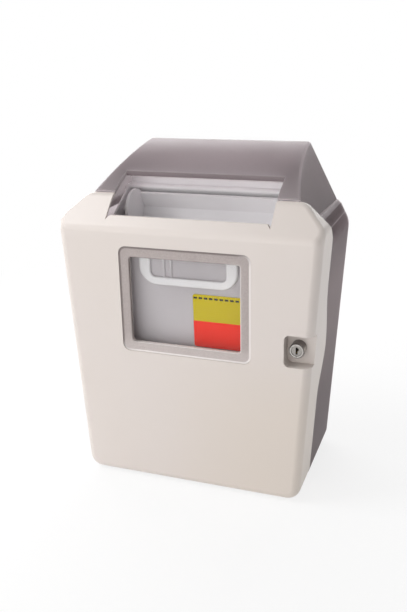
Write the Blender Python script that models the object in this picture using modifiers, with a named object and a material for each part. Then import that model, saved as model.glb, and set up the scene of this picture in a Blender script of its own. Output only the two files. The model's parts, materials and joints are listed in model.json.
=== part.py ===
"""Wall cabinet with a hinged locking door, holding a sharps collector that has a tipping drop tray.

It is built in the cabinet's own frame: X to the right, Y towards the wall, which is at 0, and Z up.
"""

import math

import bmesh
import bpy
from mathutils import Matrix, Vector

OBJECT_NAME = "sharps_cabinet"

# Cabinet outline as seen from the front
BASE_WIDTH = 0.2675
SHOULDER_WIDTH = 0.3054
RIDGE_WIDTH = 0.2046
SHOULDER_HEIGHT = 0.299
FOLD_ABOVE_SHOULDER = 0.0115
SLOPE_RISE = 0.0335
HOOD_RISE = 0.047
BASE_RADIUS = 0.016
SHOULDER_RADIUS = 0.025
DOOR_SHOULDER_DROP = 0.0245
DOOR_SHOULDER_RADIUS = 0.012
DOOR_TOP_WIDTH = 0.255
DOOR_TOP_RADIUS = 0.018

# Cabinet depth, measured from the wall or from the door's front
DEPTH = 0.1624
DOOR_DEPTH = 0.0574
SLOPE_RUN = 0.0335
TOP_EDGE_DEPTH = 0.0045
WALL = 0.0026
BACK_WALL = 0.003

# Door
DOOR_LIFT = 0.001
FRONT_FILLET = 0.010
PARTING_GAP = 0.0006
BULGE = 0.024
BULGE_LOW = 0.112
BULGE_PEAK = 0.168
BULGE_HIGH = 0.250
PARTING_BEND_DROP = 0.042

# Window in the door
WINDOW_WIDTH = 0.155
WINDOW_HEIGHT = 0.1253
WINDOW_BOTTOM = 0.1665
WINDOW_RADIUS = 0.009
WINDOW_FLANGE = 0.0117
WINDOW_OPENING_RADIUS = 0.005
WINDOW_REBATE = 0.003
WINDOW_SINK = 0.0006
PANE_STEP = 0.0014
LUG_WIDTH = 0.006
LUG_HEIGHT = 0.0022
LUG_INSET = 0.0052
LUG_SPREAD = 0.054
LUG_HOOK = 0.0012

# Inlet, cut through the door's sloped top and the hood
INLET_WIDTH = 0.1916
INLET_ABOVE_FOLD = 0.0125
INLET_NOTCH = 0.004
INLET_RUN = 0.070
HOOD_LIP = 0.0033

# Lock pocket, at the right-hand edge of the door
LOCK_HEIGHT = 0.1875
LOCK_EDGE = 0.0182
POCKET_LEFT = 0.0131
POCKET_HEIGHT = 0.037
POCKET_DEPTH = 0.018
POCKET_RADIUS = 0.006

# Lock
LOCK_SETBACK = 0.0045
BARREL_RADIUS = 0.0086
BARREL_CHAMFER = 0.0009
BODY_RADIUS = 0.0078
BODY_LENGTH = 0.019
PLUG_RADIUS = 0.0058
PLUG_SETBACK = 0.0007
TAIL_WIDTH = 0.006
KEYWAY_WIDTH = 0.0022
KEYWAY_HEIGHT = 0.0082
KEYWAY_STEP = 0.0012
KEYWAY_DEPTH = 0.024
WAFER_COUNT = 5
WAFER_PITCH = 0.0032
WAFER_SETBACK = 0.006
WAFER_THICKNESS = 0.001
WAFER_WIDTH = 0.0054
WAFER_HEIGHT = 0.0092
WAFER_RAIL = 0.001
NUT_WIDTH = 0.021
NUT_SIDES = 6
NUT_THICKNESS = 0.0045
WASHER_RADIUS = 0.0112
WASHER_THICKNESS = 0.001
CAM_THICKNESS = 0.0018
CAM_REACH = 0.0139
CAM_WIDTH = 0.0096
CAM_TIP_RADIUS = 0.0024
CAM_HEEL_RADIUS = 0.0043
CAM_SCREW_RADIUS = 0.0042
CAM_SCREW_HEAD = 0.0024
CAM_SCREW_EDGE = 0.0008
CAM_SCREW_FLAT = 0.0034
CAM_SCREW_SHANK = 0.0016
CAM_SCREW_LENGTH = 0.007
CAM_SCREW_SLOT = 0.001

# Strike that the cam turns into, moulded on the back shell
STRIKE_THICKNESS = 0.0026
STRIKE_GAP = 0.0012
STRIKE_HEIGHT = 0.036
STRIKE_ABOVE_LOCK = 0.015
STRIKE_PLAY = 0.0015
STRIKE_RIM = 0.0055
STRIKE_ROOT = 0.012

# Hinge at the left-hand edge
HINGE_HEIGHTS = (0.094, 0.246)
HINGE_NAMES = ("hinge_pin_lower", "hinge_pin_upper")
HINGE_STANDOFF = 0.0056
KNUCKLE_RADIUS = 0.0048
DOOR_KNUCKLE = 0.016
SHELL_KNUCKLE = 0.009
KNUCKLE_GAP = 0.0005
PIN_RADIUS = 0.0022
PIN_HEAD_RADIUS = 0.0036
PIN_HEAD = 0.0018
PIN_HEAD_FLAT = 0.0025
PIN_HEAD_EDGE = 0.0009

# Back shell and hood
RIM_ABOVE_SHOULDER = 0.0244
RIM_BEVEL = 0.0042
RIM_LAND = 0.0006
LAP = 0.0136
HOOD_WALL = 0.0024
HOOD_FILLET = 0.0026
HOOD_DRAFT = 0.040
ROOF_CROWN = 0.0068
ROOF_FRONT_RISE = 0.0012
UPSTAND_DROP = 0.006
KEYHOLE_SPREAD = 0.140
KEYHOLE_HEIGHT = 0.262
KEYHOLE_ENTRY = 0.0058
KEYHOLE_SLOT = 0.0028
KEYHOLE_TRAVEL = 0.013
SLOT_HEIGHT = 0.058
SLOT_TRAVEL = 0.012

# Collector
TUB_WALL = 0.0018
TUB_FRONT_GAP = 0.0154
TUB_BACK_GAP = 0.014
TUB_FOOT_GAP = 0.0012
TUB_WIDTH = 0.216
TUB_RIM_DROP = 0.0045
TUB_DRAFT = 0.0413
TUB_CORNER = 0.018
TUB_FOOT_RADIUS = 0.008
RIM_OUT = 0.0025
RIM_THICKNESS = 0.003
GRIP_WIDTH = 0.118
GRIP_DROP = 0.0495
GRIP_SIDE = 0.014
GRIP_BASE = 0.010
GRIP_RADIUS = 0.021
GRIP_INNER_RADIUS = 0.006
GRIP_PROUD = 0.0036
GRIP_EDGE = 0.0026
RIB_BEAD = 0.0018
RIB_PLACES = (-0.0292, -0.0208)
STOP_RIB_SPREAD = 0.096
STOP_RIB_WIDTH = 0.0024

# Collector lid
LID_THICKNESS = 0.0024
LID_SKIRT = 0.010
LID_SKIRT_WALL = 0.002
CHUTE_WALL = 0.0024
CHUTE_SIDE_GAP = 0.009
CHUTE_FRONT_RISE = 0.0155
HOUSING_WALL = 0.003
HOUSING_LOW_LIP = 0.0463
HOUSING_HIGH_LIP = 0.0533
HOUSING_STEP = 0.014
HOUSING_OVERHANG = 0.006
HOUSING_LIP = 0.006
ROLL_RADIUS = 0.003
ROLL_SINK = 0.001
ROLL_CORNER = 0.006
ROLL_DROP = 0.019

# Drop tray
TRAY_SETBACK = 0.0784
TRAY_ABOVE_SHOULDER = 0.0175
TRAY_RADIUS = 0.0245
TRAY_SHEET = 0.002
TRAY_BACK_ANGLE = math.radians(50)
TRAY_CREASE_ANGLE = math.radians(-2)
TRAY_FRONT_ANGLE = math.radians(-158)
TRAY_END_INSET = 0.0048
TRAY_END_WALL = 0.0025
TRAY_RING = 0.0013
TRAY_RING_WIDTH = 0.0055
TRUNNION_RADIUS = 0.004

# Label on the collector
LABEL_WIDTH = 0.076
LABEL_HEIGHT = 0.0645
LABEL_LEFT = 0.004
LABEL_BOTTOM = 0.173
LABEL_THICKNESS = 0.0004
LABEL_CORNER = 0.003

# Clearances and drawing steps
FIT = 0.0003
RUN = 0.0004
OVER = 0.010
ARC_STEP = math.radians(10)
FILLET_STEPS = 5
ROUND_SIDES = 32
SMALL_SIDES = 16
SHARP = math.radians(35)
SMOOTH_BELOW = math.radians(30)
FLAT_WITHIN = 0.002
WELD = 1e-6
ALONG = 0.7
PIVOT_SIZE = 0.02
ROOF_STEPS = 12
BULGE_STEPS = 5
TRAY_STEPS = 9
BEAD_STEPS = 4

# Places worked out from the sizes above
FRONT = -DEPTH
PARTING = FRONT + DOOR_DEPTH
FOLD_HEIGHT = SHOULDER_HEIGHT + FOLD_ABOVE_SHOULDER
DOOR_TOP = FOLD_HEIGHT + SLOPE_RISE
DOOR_SHOULDER_HEIGHT = DOOR_TOP - DOOR_SHOULDER_DROP
PARTING_BEND = DOOR_TOP - PARTING_BEND_DROP
RIDGE_HEIGHT = DOOR_TOP + HOOD_RISE
RIM_HEIGHT = SHOULDER_HEIGHT + RIM_ABOVE_SHOULDER
SLOPE_TOP = FRONT + SLOPE_RUN
BASE_CENTRE = -PARTING / 2
WIDE = SHOULDER_WIDTH
LAP_INSET = WALL + FIT
HINGE_X = -(SHOULDER_WIDTH / 2 + HINGE_STANDOFF)
POCKET_FLOOR = FRONT + POCKET_DEPTH
BODY_END = POCKET_FLOOR + BODY_LENGTH
CAM_FRONT = BODY_END + FIT
CAM_BACK = CAM_FRONT + CAM_THICKNESS
TUB_BOTTOM = DOOR_LIFT + WALL + TUB_FOOT_GAP
SHELL_FLOOR = TUB_BOTTOM - FIT
TUB_TOP = SHOULDER_HEIGHT - TUB_RIM_DROP
TUB_FRONT = FRONT + TUB_FRONT_GAP
TUB_BACK = -TUB_BACK_GAP
LID_BOTTOM = TUB_TOP + FIT
LID_TOP = LID_BOTTOM + LID_THICKNESS
TRAY_Y = FRONT + TRAY_SETBACK
TRAY_Z = SHOULDER_HEIGHT + TRAY_ABOVE_SHOULDER
TRAY_END = INLET_WIDTH / 2 - TRAY_END_INSET
CHUTE_HALF = INLET_WIDTH / 2 + CHUTE_SIDE_GAP
CHUTE_FRONT = TRAY_Y - TRAY_RADIUS - 2 * RUN
CHUTE_BACK = TRAY_Y + TRAY_RADIUS + 2 * RUN

# How an outline's own plane lies in the cabinet: its normal is -Y, X or Z
VIEWS = {
    "front": Matrix(((1, 0, 0, 0), (0, 0, -1, 0), (0, 1, 0, 0), (0, 0, 0, 1))),
    "side": Matrix(((0, 0, 1, 0), (1, 0, 0, 0), (0, 1, 0, 0), (0, 0, 0, 1))),
    "plan": Matrix.Identity(4),
}


def clear_scene():
    for item in list(bpy.data.objects):
        bpy.data.objects.remove(item, do_unlink=True)


def new_collection():
    collection = bpy.data.collections.new(OBJECT_NAME)
    bpy.context.scene.collection.children.link(collection)
    return collection


def side_x(height):
    """Half the cabinet's width on its tapered sides."""
    return (BASE_WIDTH + (SHOULDER_WIDTH - BASE_WIDTH) * height / SHOULDER_HEIGHT) / 2


def across(thickness):
    """Level distance through a thickness of the sloped shoulders."""
    run = (SHOULDER_WIDTH - RIDGE_WIDTH) / 2
    rise = RIDGE_HEIGHT - SHOULDER_HEIGHT
    return thickness * math.hypot(run, rise) / rise


def roof_x(height):
    """Half the shell's width on its sloped shoulders."""
    run = (SHOULDER_WIDTH - RIDGE_WIDTH) / 2 - across(LAP_INSET)
    return SHOULDER_WIDTH / 2 - run * (height - SHOULDER_HEIGHT) / (RIDGE_HEIGHT - SHOULDER_HEIGHT)


def mirrored(right_side):
    """A closed outline from its right-hand corners, listed upwards."""
    left_side = [(-u, v, radius) for u, v, radius in reversed(right_side)]
    return right_side + left_side


def inset(corners, distance):
    """Corners of an anticlockwise outline moved inwards, with their radii to suit."""
    moved = []
    for index, (u, v, radius) in enumerate(corners):
        here = Vector((u, v))
        back = (here - Vector(corners[index - 1][:2])).normalized()
        ahead = (Vector(corners[(index + 1) % len(corners)][:2]) - here).normalized()
        normal_back = Vector((-back.y, back.x))
        normal_ahead = Vector((-ahead.y, ahead.x))
        shift = (normal_back + normal_ahead) * distance / (1 + normal_back.dot(normal_ahead))
        moved.append((u + shift.x, v + shift.y, max(radius - distance, 0.0)))
    return moved


def rounded(corners):
    """Points of an outline with an arc at each corner that has a radius."""
    points = []
    for index, (u, v, radius) in enumerate(corners):
        here = Vector((u, v))
        if radius <= 0:
            points.append(here)
            continue
        back = (Vector(corners[index - 1][:2]) - here).normalized()
        ahead = (Vector(corners[(index + 1) % len(corners)][:2]) - here).normalized()
        half = back.angle(ahead) / 2
        start = here + back * radius / math.tan(half)
        centre = here + (back + ahead).normalized() * radius / math.sin(half)
        turn = math.pi - 2 * half
        steps = max(1, math.ceil(turn / ARC_STEP))
        way = 1 if back.cross(ahead) < 0 else -1
        for step in range(steps + 1):
            angle = way * turn * step / steps
            points.append(centre + Matrix.Rotation(angle, 2) @ (start - centre))
    return points


def rectangle(low_u, low_v, high_u, high_v, radius=0.0):
    return [
        (low_u, low_v, radius),
        (high_u, low_v, radius),
        (high_u, high_v, radius),
        (low_u, high_v, radius),
    ]


def plain(points):
    """Corners without radii."""
    return [(u, v, 0.0) for u, v in points]


def link(item):
    bpy.data.collections[OBJECT_NAME].objects.link(item)
    return item


def evaluated_mesh(item):
    bpy.context.view_layer.update()
    depsgraph = bpy.context.evaluated_depsgraph_get()
    return bpy.data.meshes.new_from_object(item.evaluated_get(depsgraph))


def tidy(mesh):
    """Weld loose caps, merge flat neighbours and turn every face outwards."""
    work = bmesh.new()
    work.from_mesh(mesh)
    bmesh.ops.remove_doubles(work, verts=work.verts, dist=WELD)
    bmesh.ops.dissolve_limit(work, angle_limit=FLAT_WITHIN, verts=work.verts, edges=work.edges)
    bmesh.ops.recalc_face_normals(work, faces=work.faces)
    work.to_mesh(mesh)
    work.free()


def as_solid(item):
    """Replace a curve or a modified object by the mesh it shows, in the cabinet's frame."""
    mesh = evaluated_mesh(item)
    mesh.transform(item.matrix_world)
    tidy(mesh)
    solid = link(bpy.data.objects.new(item.name, mesh))
    bpy.data.objects.remove(item, do_unlink=True)
    return solid


def extrude(name, corners, low, high, view):
    """A flat outline given thickness between two places along its normal."""
    curve = bpy.data.curves.new(name, "CURVE")
    curve.dimensions = "2D"
    curve.fill_mode = "BOTH"
    curve.extrude = (high - low) / 2
    points = rounded(corners)
    spline = curve.splines.new("POLY")
    spline.points.add(len(points) - 1)
    for target, point in zip(spline.points, points):
        target.co = (point.x, point.y, 0, 1)
    spline.use_cyclic_u = True
    item = link(bpy.data.objects.new(name, curve))
    middle = (low + high) / 2
    if view == "front":
        middle = -middle
    item.matrix_world = VIEWS[view] @ Matrix.Translation((0, 0, middle))
    return as_solid(item)


def turned(name, profile, centre, view, sides=ROUND_SIDES, closed=False):
    """A profile of (radius, place along the axis) points swept round the axis."""
    mesh = bpy.data.meshes.new(name)
    edges = [(index, index + 1) for index in range(len(profile) - 1)]
    if closed:
        edges.append((len(profile) - 1, 0))
    mesh.from_pydata([(radius, 0, along) for radius, along in profile], edges, [])
    item = link(bpy.data.objects.new(name, mesh))
    sweep = item.modifiers.new("sweep", "SCREW")
    sweep.steps = sides
    sweep.render_steps = sides
    sweep.use_merge_vertices = True
    sweep.merge_threshold = WELD
    item.matrix_world = Matrix.Translation(centre) @ VIEWS[view]
    return as_solid(item)


def box(name, low, high):
    mesh = bpy.data.meshes.new(name)
    work = bmesh.new()
    bmesh.ops.create_cube(work, size=1.0)
    low = Vector(low)
    high = Vector(high)
    bmesh.ops.scale(work, vec=high - low, verts=work.verts)
    bmesh.ops.translate(work, vec=(low + high) / 2, verts=work.verts)
    work.to_mesh(mesh)
    work.free()
    return link(bpy.data.objects.new(name, mesh))


def cylinder(name, radius, start, end, sides=ROUND_SIDES):
    mesh = bpy.data.meshes.new(name)
    start = Vector(start)
    end = Vector(end)
    turn = Vector((0, 0, 1)).rotation_difference(end - start).to_matrix().to_4x4()
    place = Matrix.Translation((start + end) / 2) @ turn
    work = bmesh.new()
    bmesh.ops.create_cone(
        work,
        cap_ends=True,
        segments=sides,
        radius1=radius,
        radius2=radius,
        depth=(end - start).length,
        matrix=place,
    )
    work.to_mesh(mesh)
    work.free()
    return link(bpy.data.objects.new(name, mesh))


def bead(name, points, radius):
    """A round bead along a path."""
    curve = bpy.data.curves.new(name, "CURVE")
    curve.dimensions = "3D"
    curve.bevel_depth = radius
    curve.bevel_resolution = BEAD_STEPS
    curve.use_fill_caps = True
    spline = curve.splines.new("POLY")
    spline.points.add(len(points) - 1)
    for target, point in zip(spline.points, points):
        target.co = (*point, 1)
    return as_solid(link(bpy.data.objects.new(name, curve)))


def combine(target, tool, operation):
    """Cut, join or intersect a solid with another one, which is used up."""
    modifier = target.modifiers.new("combine", "BOOLEAN")
    modifier.operation = operation
    modifier.solver = "EXACT"
    modifier.object = tool
    mesh = evaluated_mesh(target)
    target.modifiers.clear()
    target.data = mesh
    tidy(mesh)
    bpy.data.objects.remove(tool, do_unlink=True)
    return target


def cut(target, tool):
    return combine(target, tool, "DIFFERENCE")


def join(target, tool):
    return combine(target, tool, "UNION")


def keep_common(target, tool):
    return combine(target, tool, "INTERSECT")


def round_edges(item, radius, chosen, steps=FILLET_STEPS):
    """Round the sharp edges that the test picks."""
    work = bmesh.new()
    work.from_mesh(item.data)
    picked = []
    for edge in work.edges:
        middle = (edge.verts[0].co + edge.verts[1].co) / 2
        if edge.calc_face_angle(0.0) > SHARP and chosen(middle, edge):
            picked.append(edge)
    bmesh.ops.bevel(
        work,
        geom=picked,
        offset=radius,
        offset_type="OFFSET",
        segments=steps,
        profile=0.5,
        affect="EDGES",
        clamp_overlap=True,
    )
    work.to_mesh(item.data)
    work.free()
    tidy(item.data)
    return item


def finish_mesh(item, name, finish):
    item.name = name
    item.data.name = name
    item.data.materials.clear()
    item.data.materials.append(finish)
    item.data.shade_smooth()
    item.data.set_sharp_from_angle(angle=SMOOTH_BELOW)
    return item


def pivot(name, place, parent=None):
    """An empty on a joint's axis that carries the pieces which move together."""
    item = link(bpy.data.objects.new(name, None))
    item.empty_display_size = PIVOT_SIZE
    item["frame_place"] = tuple(place)
    item.location = Vector(place)
    if parent:
        item.parent = parent
        item.location = Vector(place) - Vector(parent["frame_place"])
    return item


def carry(item, parent):
    """Hang a finished piece on a pivot, leaving it where it was modelled."""
    item.parent = parent
    item.location = -Vector(parent["frame_place"])
    return item


def material(name, colour, roughness, metallic=0.0, transmission=0.0):
    finish = bpy.data.materials.new(name)
    finish.use_nodes = True
    shader = finish.node_tree.nodes["Principled BSDF"]
    shader.inputs["Base Color"].default_value = (*colour, 1.0)
    shader.inputs["Roughness"].default_value = roughness
    shader.inputs["Metallic"].default_value = metallic
    shader.inputs["Transmission Weight"].default_value = transmission
    finish.diffuse_color = (*colour, 1.0)
    return finish


def bulge_line(shift):
    """Side view of the bulge beside the lock, where the door reaches further back."""
    y = PARTING + shift
    points = []
    stretches = ((BULGE_LOW, BULGE_PEAK, 0), (BULGE_PEAK, BULGE_HIGH, 1))
    for low, high, phase in stretches:
        for step in range(BULGE_STEPS):
            share = step / BULGE_STEPS
            out = (1 - math.cos(math.pi * (share + phase))) / 2
            points.append((y + BULGE * out, low + (high - low) * share))
    points.append((y, BULGE_HIGH))
    return points


def parting_line(shift, with_bulge):
    """Side view of the joint between door and cabinet, from below the base to above the top."""
    y = PARTING + shift
    points = [(y, -OVER)]
    if with_bulge:
        points += bulge_line(shift)
    top_y = SLOPE_TOP + TOP_EDGE_DEPTH + shift
    points.append((y, PARTING_BEND))
    points.append((top_y, PARTING_BEND + (y - top_y) * SLOPE_RISE / SLOPE_RUN))
    points.append((top_y, DOOR_TOP))
    points.append((top_y - HOOD_RISE, DOOR_TOP + HOOD_RISE))
    return points


def cut_behind(target, shift):
    """Take away what lies on the wall's side of the parting line, with its bulge."""
    line = parting_line(shift, True)
    corners = plain(line + [(OVER, line[-1][1]), (OVER, line[0][1])])
    return cut(target, extrude("behind", corners, -WIDE, WIDE, "side"))


def cut_ahead(target, shift):
    """Take away what lies on the door's side of the parting line, without its bulge."""
    line = parting_line(shift, False)
    far = FRONT - OVER
    corners = plain(line + [(far, line[-1][1]), (far, line[0][1])])
    return cut(target, extrude("ahead", corners, -WIDE, WIDE, "side"))


def door_block(distance):
    """The door's outer form, or its inner form when moved in by the wall."""
    right_side = [
        (side_x(DOOR_LIFT), DOOR_LIFT, BASE_RADIUS),
        (side_x(DOOR_SHOULDER_HEIGHT), DOOR_SHOULDER_HEIGHT, DOOR_SHOULDER_RADIUS),
        (DOOR_TOP_WIDTH / 2, DOOR_TOP, DOOR_TOP_RADIUS),
    ]
    rear = PARTING + BULGE + OVER
    above = DOOR_TOP + OVER
    profile = [
        (FRONT, -OVER),
        (rear + OVER, -OVER),
        (rear + OVER, above),
        (FRONT + SLOPE_RUN * (above - FOLD_HEIGHT) / SLOPE_RISE, above),
        (FRONT, FOLD_HEIGHT),
    ]
    outline = inset(mirrored(right_side), distance)
    block = extrude("block", outline, FRONT - OVER, rear, "front")
    keep_common(block, extrude("profile", inset(plain(profile), distance), -WIDE, WIDE, "side"))
    return round_edges(block, FRONT_FILLET - distance, lambda middle, edge: middle.y < rear - WALL)


def window_corners(margin, radius):
    """The window's rebate, widened or narrowed by a margin."""
    half = WINDOW_WIDTH / 2 + margin
    top = WINDOW_BOTTOM + WINDOW_HEIGHT + margin
    return rectangle(-half, WINDOW_BOTTOM - margin, half, top, radius)


def lug_places():
    """Centres of the window's lugs in its flange, two above and three below."""
    low = WINDOW_BOTTOM + LUG_INSET
    high = WINDOW_BOTTOM + WINDOW_HEIGHT - LUG_INSET
    return [(-LUG_SPREAD, high), (LUG_SPREAD, high), (-LUG_SPREAD, low), (0.0, low), (LUG_SPREAD, low)]


def lock_x():
    return side_x(LOCK_HEIGHT) - LOCK_EDGE


def pocket_corners(margin):
    left = lock_x() - POCKET_LEFT - margin
    half = POCKET_HEIGHT / 2 + margin
    low = LOCK_HEIGHT - half
    high = LOCK_HEIGHT + half
    radius = POCKET_RADIUS + margin
    return [(left, low, radius), (WIDE, low, 0.0), (WIDE, high, 0.0), (left, high, radius)]


def knuckle(low, high, web_low, web_high):
    """One hinge knuckle with the web that ties it to the cabinet's left-hand wall."""
    start = (HINGE_X, PARTING, low)
    end = (HINGE_X, PARTING, high)
    ring = cylinder("knuckle", KNUCKLE_RADIUS, start, end, SMALL_SIDES)
    reach = -(side_x((low + high) / 2) - WALL / 2)
    web = box("web", (HINGE_X, web_low, low), (reach, web_high, high))
    return join(ring, web)


def pin_hole(middle):
    reach = DOOR_KNUCKLE + 2 * SHELL_KNUCKLE
    start = (HINGE_X, PARTING, middle - reach)
    end = (HINGE_X, PARTING, middle + reach)
    return cylinder("pin_hole", PIN_RADIUS + FIT, start, end, SMALL_SIDES)


def make_door(finish):
    door = door_block(0.0)
    cavity = door_block(WALL)
    frame_depth = FRONT + WINDOW_REBATE + WALL
    frame = window_corners(WALL, WINDOW_RADIUS + WALL)
    cut(cavity, extrude("frame", frame, FRONT - OVER, frame_depth, "front"))
    cut(cavity, extrude("pocket", pocket_corners(WALL), FRONT - OVER, POCKET_FLOOR + WALL, "front"))
    cut(door, cavity)
    half_gap = PARTING_GAP / 2
    cut_behind(door, -half_gap)
    hinge_side_low = (-WIDE, PARTING - half_gap, BULGE_LOW)
    cut(door, box("hinge_side", hinge_side_low, (0.0, PARTING + BULGE + OVER, BULGE_HIGH)))
    rebate = window_corners(0.0, WINDOW_RADIUS)
    opening = window_corners(-WINDOW_FLANGE, WINDOW_OPENING_RADIUS)
    cut(door, extrude("rebate", rebate, FRONT - OVER, FRONT + WINDOW_REBATE, "front"))
    cut(door, extrude("opening", opening, FRONT - OVER, frame_depth + OVER, "front"))
    for x, z in lug_places():
        wide = LUG_WIDTH / 2 + FIT
        high = LUG_HEIGHT / 2 + FIT
        slot_low = (x - wide, FRONT - OVER, z - high)
        slot_high = (x + wide, frame_depth + OVER, z + high)
        cut(door, box("lug_slot", slot_low, slot_high))
    cut(door, extrude("recess", pocket_corners(0.0), FRONT - OVER, POCKET_FLOOR, "front"))
    lock_start = (lock_x(), POCKET_FLOOR - OVER, LOCK_HEIGHT)
    lock_end = (lock_x(), POCKET_FLOOR + OVER, LOCK_HEIGHT)
    cut(door, cylinder("lock_hole", BODY_RADIUS + FIT, lock_start, lock_end))
    half = INLET_WIDTH / 2
    sill = FOLD_HEIGHT + INLET_ABOVE_FOLD
    inlet = [
        (half, sill - INLET_NOTCH, 0.0),
        (half, DOOR_TOP + OVER, 0.0),
        (-half, DOOR_TOP + OVER, 0.0),
        (-half, sill - INLET_NOTCH, 0.0),
        (-half + INLET_NOTCH, sill, 0.0),
        (half - INLET_NOTCH, sill, 0.0),
    ]
    cut(door, extrude("inlet", inlet, FRONT - OVER, PARTING + BULGE, "front"))
    for middle in HINGE_HEIGHTS:
        low = middle - DOOR_KNUCKLE / 2
        high = middle + DOOR_KNUCKLE / 2
        join(door, knuckle(low, high, PARTING - KNUCKLE_RADIUS, PARTING - PARTING_GAP))
        cut(door, pin_hole(middle))
    return finish_mesh(door, "door", finish)


def make_window_pane(finish):
    """Clear pane: a flange in the rebate, a boss in the opening, and lugs through the flange's slots."""
    front = FRONT + WINDOW_SINK
    seat = FRONT + WINDOW_REBATE - FIT
    pane = extrude("pane", window_corners(-FIT, WINDOW_RADIUS - FIT), front, seat, "front")
    boss = window_corners(-WINDOW_FLANGE - FIT, WINDOW_OPENING_RADIUS - FIT)
    join(pane, extrude("boss", boss, front + PANE_STEP / 2, seat + PANE_STEP, "front"))
    for x, z in lug_places():
        wide = LUG_WIDTH / 2
        high = LUG_HEIGHT / 2
        stem = (x + wide, FRONT + WINDOW_REBATE + WALL + LUG_HOOK, z + high)
        join(pane, box("lug", (x - wide, front - WINDOW_SINK / 2, z - high), stem))
    recess = window_corners(-WINDOW_FLANGE - WALL, WINDOW_OPENING_RADIUS)
    cut(pane, extrude("recess", recess, front - OVER, front + PANE_STEP, "front"))
    return finish_mesh(pane, "window_pane", finish)


def keyhole(x, height):
    """A round entry for a screw's head with a narrow slot above it."""
    start = -BACK_WALL - OVER
    tool = cylinder("entry", KEYHOLE_ENTRY, (x, start, height), (x, OVER, height), SMALL_SIDES)
    top = height + KEYHOLE_TRAVEL
    join(tool, box("slot", (x - KEYHOLE_SLOT, start, height), (x + KEYHOLE_SLOT, OVER, top)))
    join(tool, cylinder("end", KEYHOLE_SLOT, (x, start, top), (x, OVER, top), SMALL_SIDES))
    return tool


def upright_slot(x, height):
    half = SLOT_TRAVEL / 2 + KEYHOLE_SLOT
    wide = KEYHOLE_SLOT
    corners = rectangle(x - wide, height - half, x + wide, height + half, wide - FIT)
    return extrude("upright_slot", corners, -BACK_WALL - OVER, OVER, "front")


def strike_x():
    """Inner face of the strike, just outside the lock's body."""
    return lock_x() + BARREL_RADIUS + STRIKE_GAP


def make_strike():
    """A plate beside the lock with a window that the cam turns into."""
    inner = strike_x()
    outer = inner + STRIKE_THICKNESS
    low = LOCK_HEIGHT + STRIKE_ABOVE_LOCK - STRIKE_HEIGHT
    high = LOCK_HEIGHT + STRIKE_ABOVE_LOCK
    front = CAM_FRONT - STRIKE_PLAY - STRIKE_RIM
    root = PARTING + BULGE + PARTING_GAP + WALL
    wall_reach = side_x(LOCK_HEIGHT) - WALL / 2
    corners = rectangle(front, low, root + STRIKE_ROOT, high, STRIKE_RIM / 2)
    plate = extrude("strike", corners, inner, outer, "side")
    root_low = (inner + STRIKE_THICKNESS / 2, root, low + STRIKE_RIM)
    root_high = (wall_reach, root + STRIKE_ROOT - WALL, high - STRIKE_RIM)
    join(plate, box("strike_root", root_low, root_high))
    window = rectangle(
        CAM_FRONT - STRIKE_PLAY,
        low + STRIKE_RIM,
        CAM_BACK + STRIKE_PLAY + CAM_SCREW_HEAD,
        high - STRIKE_RIM,
    )
    return cut(plate, extrude("strike_window", window, inner - OVER, outer + OVER, "side"))


def tub_back_at(height):
    """Place of the tub's rear face at a height."""
    return TUB_BACK - TUB_DRAFT * (TUB_TOP - height)


def make_stop_rib(x):
    """An upright rib that keeps the collector off the back wall."""
    low = SHELL_FLOOR / 2
    high = TUB_TOP - LID_SKIRT - RIM_THICKNESS
    rear = -BACK_WALL / 2
    profile = [
        (tub_back_at(low) + FIT, low),
        (rear, low),
        (rear, high),
        (tub_back_at(high) + FIT, high),
    ]
    return extrude("stop_rib", plain(profile), x - STOP_RIB_WIDTH / 2, x + STOP_RIB_WIDTH / 2, "side")


def make_back_shell(finish):
    """Open box against the wall, with a bevelled rim that draws in to meet the hood."""
    bevel = RIM_HEIGHT - RIM_BEVEL
    right_side = [
        (BASE_WIDTH / 2, 0.0, BASE_RADIUS),
        (SHOULDER_WIDTH / 2, SHOULDER_HEIGHT, SHOULDER_RADIUS),
        (roof_x(bevel), bevel, 0.0),
        (roof_x(RIM_HEIGHT) - across(WALL - RIM_LAND), RIM_HEIGHT, 0.0),
    ]
    raised = SHELL_FLOOR - WALL
    open_side = [(side_x(raised), raised, BASE_RADIUS), right_side[1], right_side[2]]
    shell = extrude("shell", mirrored(right_side), FRONT, 0.0, "front")
    cavity = inset(mirrored(open_side), WALL)
    cut(shell, extrude("cavity", cavity, FRONT - OVER, -BACK_WALL, "front"))
    cut(shell, hood_block(-FIT, -BACK_WALL))
    half_gap = PARTING_GAP / 2
    cut_ahead(shell, half_gap)
    bulge = plain(bulge_line(half_gap) + [(PARTING - OVER, BULGE_HIGH), (PARTING - OVER, BULGE_LOW)])
    cut(shell, extrude("bulge", bulge, 0.0, WIDE, "side"))
    top = RIDGE_HEIGHT - HOOD_WALL - UPSTAND_DROP
    low = RIM_HEIGHT - LAP
    side = across(LAP_INSET + HOOD_WALL + FIT) + HOOD_DRAFT * BACK_WALL
    upstand = [(roof_x(low) - side, low, 0.0), (roof_x(top) - side, top, HOOD_FILLET)]
    join(shell, extrude("upstand", mirrored(upstand), -BACK_WALL, 0.0, "front"))
    for x in (-KEYHOLE_SPREAD / 2, KEYHOLE_SPREAD / 2):
        cut(shell, keyhole(x, KEYHOLE_HEIGHT))
        cut(shell, upright_slot(x, SLOT_HEIGHT))
    for x in (-STOP_RIB_SPREAD / 2, STOP_RIB_SPREAD / 2):
        join(shell, make_stop_rib(x))
    for middle in HINGE_HEIGHTS:
        near = DOOR_KNUCKLE / 2 + KNUCKLE_GAP
        far = near + SHELL_KNUCKLE
        for low, high in ((middle - far, middle - near), (middle + near, middle + far)):
            join(shell, knuckle(low, high, PARTING + PARTING_GAP, PARTING + KNUCKLE_RADIUS))
        cut(shell, pin_hole(middle))
    join(shell, make_strike())
    return finish_mesh(shell, "back_shell", finish)


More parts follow.
